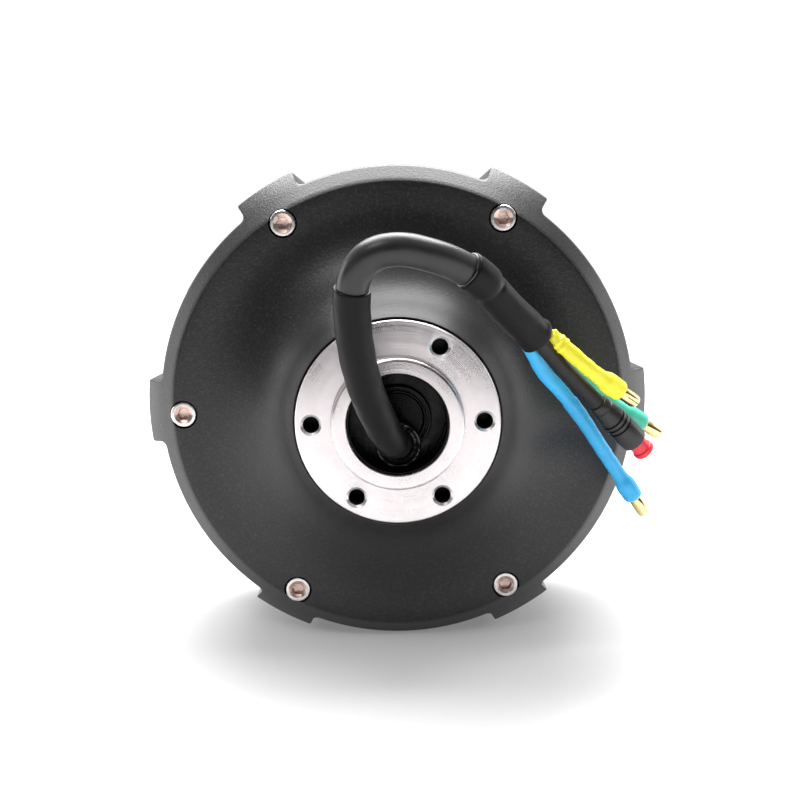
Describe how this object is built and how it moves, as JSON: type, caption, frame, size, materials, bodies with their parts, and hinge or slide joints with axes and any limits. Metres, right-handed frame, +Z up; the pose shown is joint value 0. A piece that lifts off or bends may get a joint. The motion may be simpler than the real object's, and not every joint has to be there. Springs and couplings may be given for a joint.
{
  "type": "electric scooter hub motor",
  "caption": "Direct-drive wheel hub motor with a dished black cover, drive lugs round its rim, a machined fork flange and a sheathed cable that splits into plug-ended leads.",
  "frame": {"origin": "centre of the fork flange's mounting face, on the wheel axis", "axes": "-Y out of the flange along the wheel axis, +Z up with the cable's arch above the bore"},
  "size_m": [0.138, 0.1091, 0.129],
  "materials": {
    "black_coat": "satin",
    "machined_alloy": "satin",
    "alloy_casting": "matte",
    "bearing_steel": "polished",
    "screw_steel": "satin",
    "ring_steel": "satin",
    "core_steel": "satin",
    "magnet_nickel": "satin",
    "copper_wire": "satin",
    "gold_plate": "polished",
    "insulator_plastic": "matte",
    "board_green": "satin",
    "sensor_black": "matte",
    "cage_nylon": "matte",
    "black_resin": "satin",
    "seal_rubber": "matte",
    "cable_rubber": "satin",
    "sleeve_black": "matte",
    "yellow_sheath": "satin",
    "blue_sheath": "satin",
    "green_sheath": "satin",
    "connector_black": "satin",
    "red_cap": "satin"
  },
  "bodies": {
    "stator": {"blue_bullet": "gold_plate", "blue_lead": "blue_sheath", "blue_shrink": "blue_sheath", "bore_potting": "black_resin", "cable_collar": "seal_rubber", "coils": "copper_wire", "flange_shaft": "machined_alloy", "front_bearing_inner_race": "bearing_steel", "front_insulator": "insulator_plastic", "green_bullet": "gold_plate", "green_lead": "green_sheath", "green_shrink": "green_sheath", "hall_board": "board_green", "hall_sensors": "sensor_black", "hub_circlip": "ring_steel", "lower_sleeve": "sleeve_black", "main_cable": "cable_rubber", "rear_bearing_inner_race": "bearing_steel", "rear_insulator": "insulator_plastic", "sensor_cap": "red_cap", "sensor_connector": "connector_black", "sensor_lead": "sleeve_black", "shaft_key": "screw_steel", "stator_core": "core_steel", "stator_hub": "alloy_casting", "upper_sleeve": "sleeve_black", "yellow_bullet": "gold_plate", "yellow_lead": "yellow_sheath", "yellow_shrink": "yellow_sheath"},
    "rotor": {"front_cover": "black_coat", "rotor_ring": "black_coat", "back_cover": "black_coat", "front_seal_ring": "seal_rubber", "rear_seal_ring": "seal_rubber", "flux_ring": "ring_steel", "magnets": "magnet_nickel", "front_cover_screws": "screw_steel", "rear_cover_screws": "screw_steel", "front_bearing_outer_race": "bearing_steel", "front_bearing_seals": "seal_rubber", "rear_bearing_outer_race": "bearing_steel", "rear_bearing_seals": "seal_rubber", "front_shaft_seal": "seal_rubber", "wave_washer": "screw_steel"},
    "front_ball_set": {"front_bearing_balls": "bearing_steel", "front_bearing_cage": "cage_nylon"},
    "rear_ball_set": {"rear_bearing_balls": "bearing_steel", "rear_bearing_cage": "cage_nylon"}
  },
  "joints": [
    {"name": "rotor_spin", "type": "hinge", "parent": "stator", "child": "rotor", "pos_m": [0, 0.03, 0], "axis": [0, 1, 0], "continuous": true},
    {"name": "front_balls_spin", "type": "hinge", "parent": "stator", "child": "front_ball_set", "pos_m": [0, 0.0175, 0], "axis": [0, 1, 0], "continuous": true},
    {"name": "rear_balls_spin", "type": "hinge", "parent": "stator", "child": "rear_ball_set", "pos_m": [0, 0.064, 0], "axis": [0, 1, 0], "continuous": true}
  ],
  "couplings": [
    {"joint": "front_balls_spin", "follows": "rotor_spin", "ratio": 0.6111},
    {"joint": "rear_balls_spin", "follows": "rotor_spin", "ratio": 0.6774}
  ]
}
